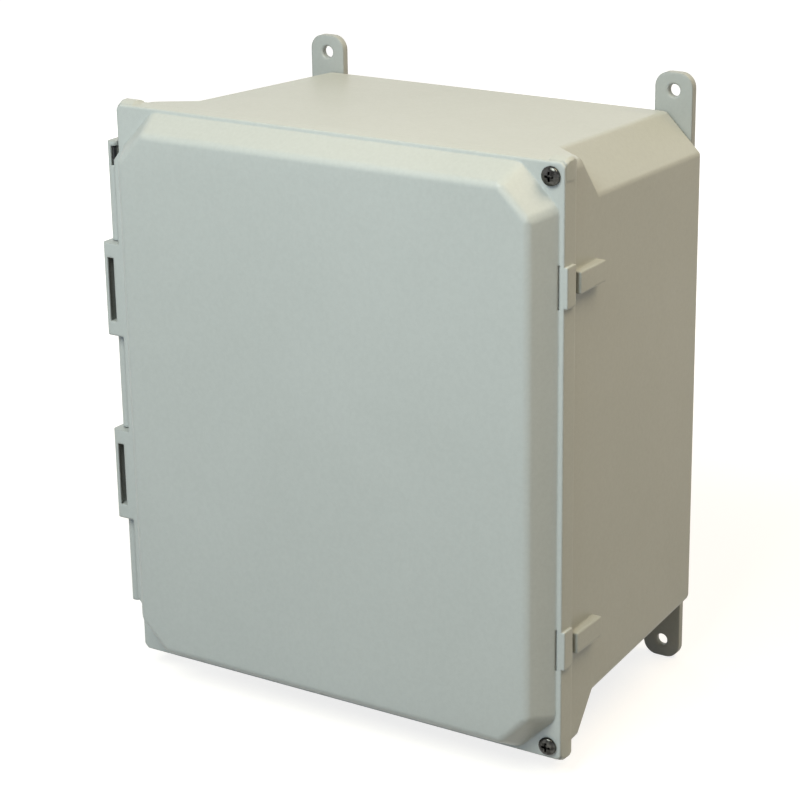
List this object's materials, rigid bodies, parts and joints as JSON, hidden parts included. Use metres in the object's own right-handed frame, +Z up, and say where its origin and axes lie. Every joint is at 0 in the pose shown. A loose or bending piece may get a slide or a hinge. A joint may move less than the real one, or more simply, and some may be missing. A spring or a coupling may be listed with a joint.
{
  "type": "fiberglass wall enclosure",
  "caption": "moulded fiberglass wall enclosure with a hinged, bevelled raised cover, captive cover screws at its right corners and mounting feet behind its back corners",
  "frame": {"origin": "centre of the base's flat back face", "axes": "X across the width, to the right when facing the cover; Y from front to back, with the cover on the -Y side; Z up"},
  "size_m": [0.3093, 0.1966, 0.3628],
  "materials": {
    "fiberglass": "moulded grey fiberglass, low sheen, fine mould texture",
    "foot_plastic": "moulded grey fiberglass, satin",
    "gasket_foam": "black foam sealing strip",
    "pin_plastic": "black glass-filled plastic rod",
    "stainless": "bright stainless steel",
    "retainer_nylon": "natural nylon",
    "insert_brass": "turned brass"
  },
  "bodies": {
    "enclosure": {"base": "fiberglass", "hinge_pin": "pin_plastic", "screw_insert_upper": "insert_brass", "screw_insert_lower": "insert_brass", "foot_top_left": "foot_plastic", "foot_top_right": "foot_plastic", "foot_bottom_left": "foot_plastic", "foot_bottom_right": "foot_plastic", "foot_screw_top_left": "stainless", "foot_screw_top_right": "stainless", "foot_screw_bottom_left": "stainless", "foot_screw_bottom_right": "stainless", "foot_insert_top_left": "insert_brass", "foot_insert_top_right": "insert_brass", "foot_insert_bottom_left": "insert_brass", "foot_insert_bottom_right": "insert_brass", "panel_insert_top_left": "insert_brass", "panel_insert_top_right": "insert_brass", "panel_insert_bottom_left": "insert_brass", "panel_insert_bottom_right": "insert_brass"},
    "cover": {"cover": "fiberglass", "gasket": "gasket_foam"},
    "screw_retainer_upper": {"screw_retainer_upper": "retainer_nylon"},
    "cover_screw_upper": {"cover_screw_upper": "stainless"},
    "screw_retainer_lower": {"screw_retainer_lower": "retainer_nylon"},
    "cover_screw_lower": {"cover_screw_lower": "stainless"}
  },
  "joints": [
    {"name": "cover_hinge", "type": "hinge", "parent": "enclosure", "child": "cover", "pos_m": [-0.1555, -0.1659, 0], "axis": [0, 0, -1], "range_deg": [0, 180]},
    {"name": "screw_travel_upper", "type": "slide", "parent": "cover", "child": "screw_retainer_upper", "axis": [0, -1, 0], "range_m": [0, 0.007]},
    {"name": "screw_turn_upper", "type": "hinge", "parent": "screw_retainer_upper", "child": "cover_screw_upper", "pos_m": [0.1372, -0.1745, 0.1614], "axis": [0, -1, 0], "range_deg": [0, 3150]},
    {"name": "screw_travel_lower", "type": "slide", "parent": "cover", "child": "screw_retainer_lower", "axis": [0, -1, 0], "range_m": [0, 0.007]},
    {"name": "screw_turn_lower", "type": "hinge", "parent": "screw_retainer_lower", "child": "cover_screw_lower", "pos_m": [0.1372, -0.1745, -0.1614], "axis": [0, -1, 0], "range_deg": [0, 3150]}
  ],
  "couplings": [
    {"joint": "screw_turn_upper", "follows": "screw_travel_upper", "rad_per_m": 7853.9},
    {"joint": "screw_turn_lower", "follows": "screw_travel_lower", "rad_per_m": 7853.9}
  ]
}
